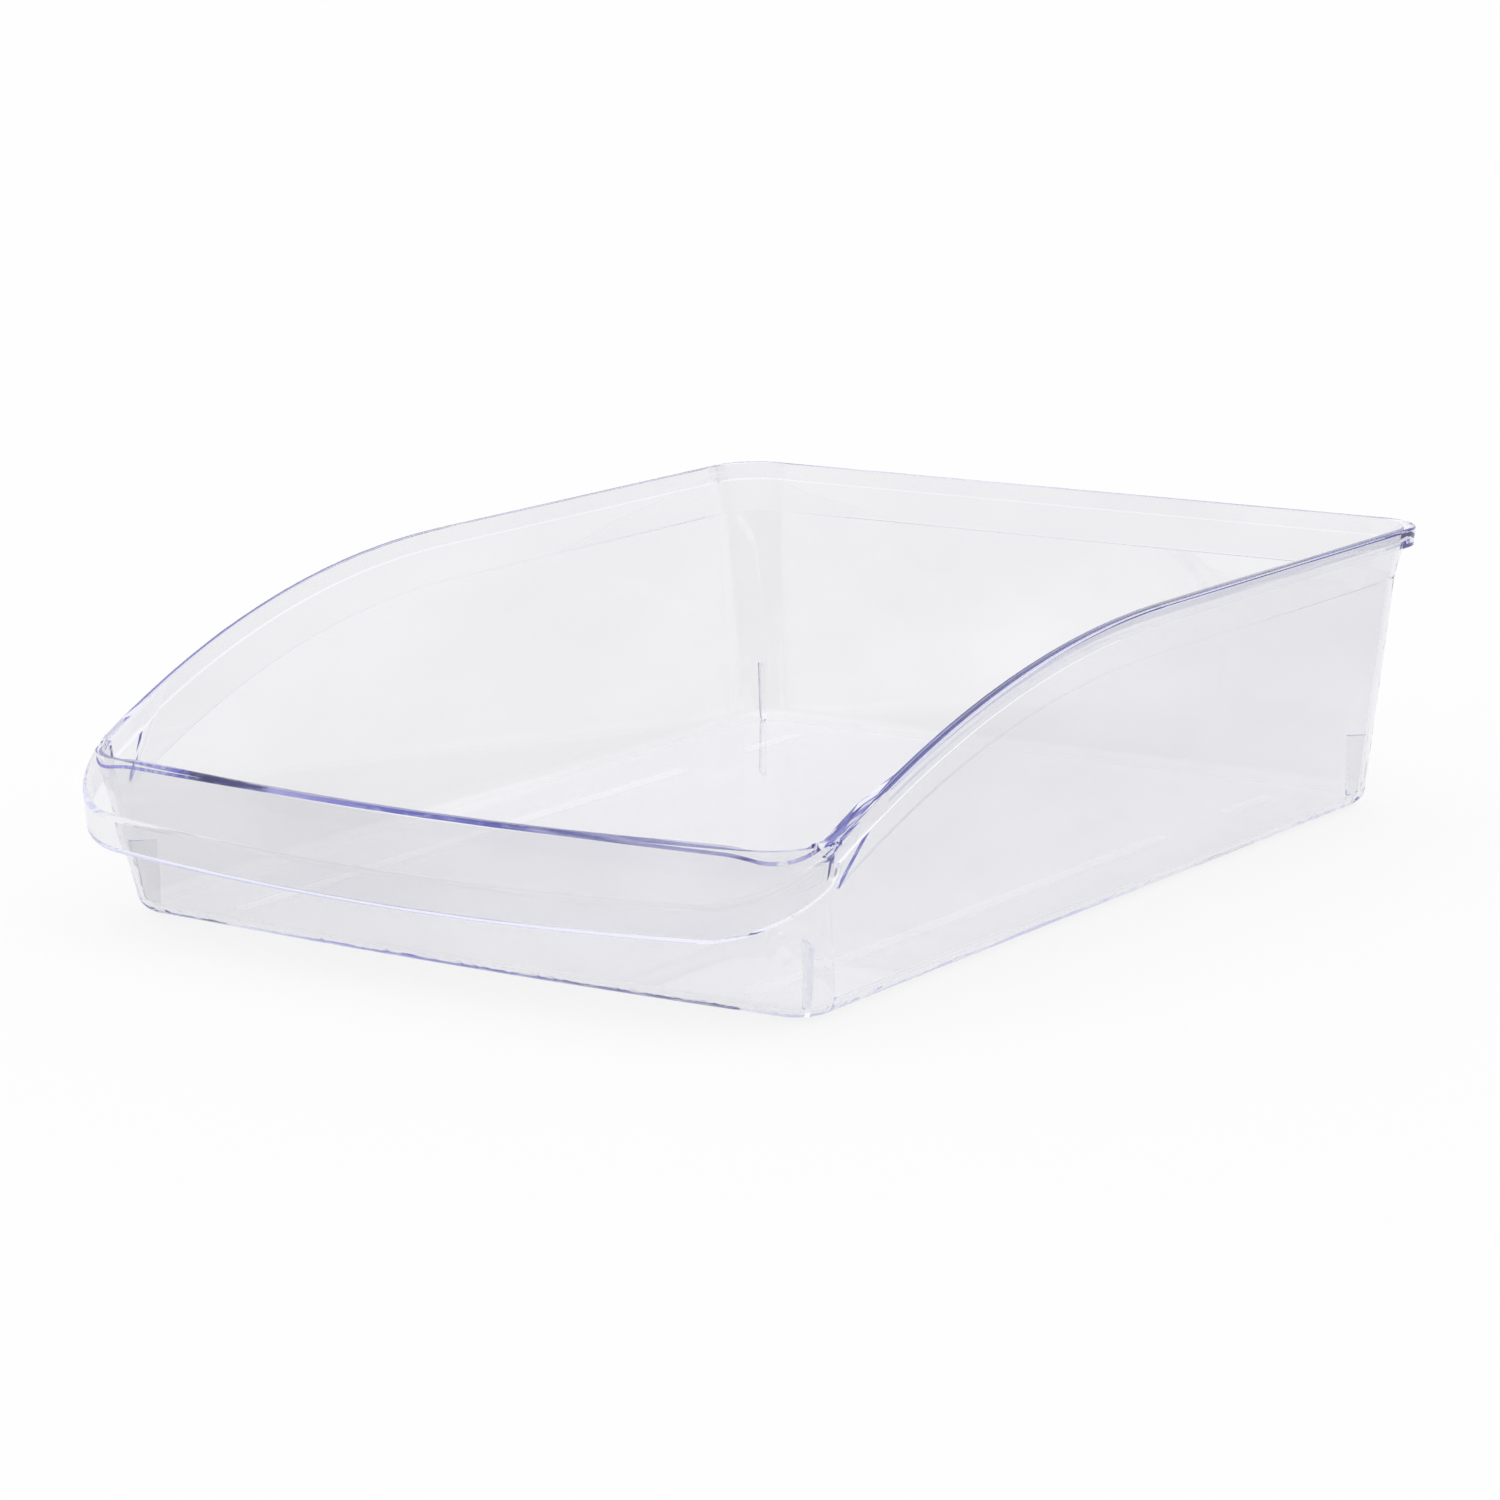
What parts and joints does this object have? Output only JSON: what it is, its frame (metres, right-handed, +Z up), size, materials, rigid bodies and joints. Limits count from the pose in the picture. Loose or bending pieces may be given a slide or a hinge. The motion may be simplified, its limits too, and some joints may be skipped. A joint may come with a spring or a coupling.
{
  "type": "storage bin",
  "caption": "Clear open storage bin with leaning walls that flare to a thick lip, a scooped low front and a wrap-round pull grip.",
  "frame": {"origin": "centre of the footprint, on the surface that the bin stands on", "axes": "+Z up, -Y towards the pull grip at the low front, +Y towards the high back wall, +X to the right seen from the front"},
  "size_m": [0.3032, 0.4199, 0.1026],
  "materials": {
    "clear_plastic": "clear, polished"
  },
  "bodies": {
    "root": {"bin": "clear_plastic"}
  },
  "joints": []
}
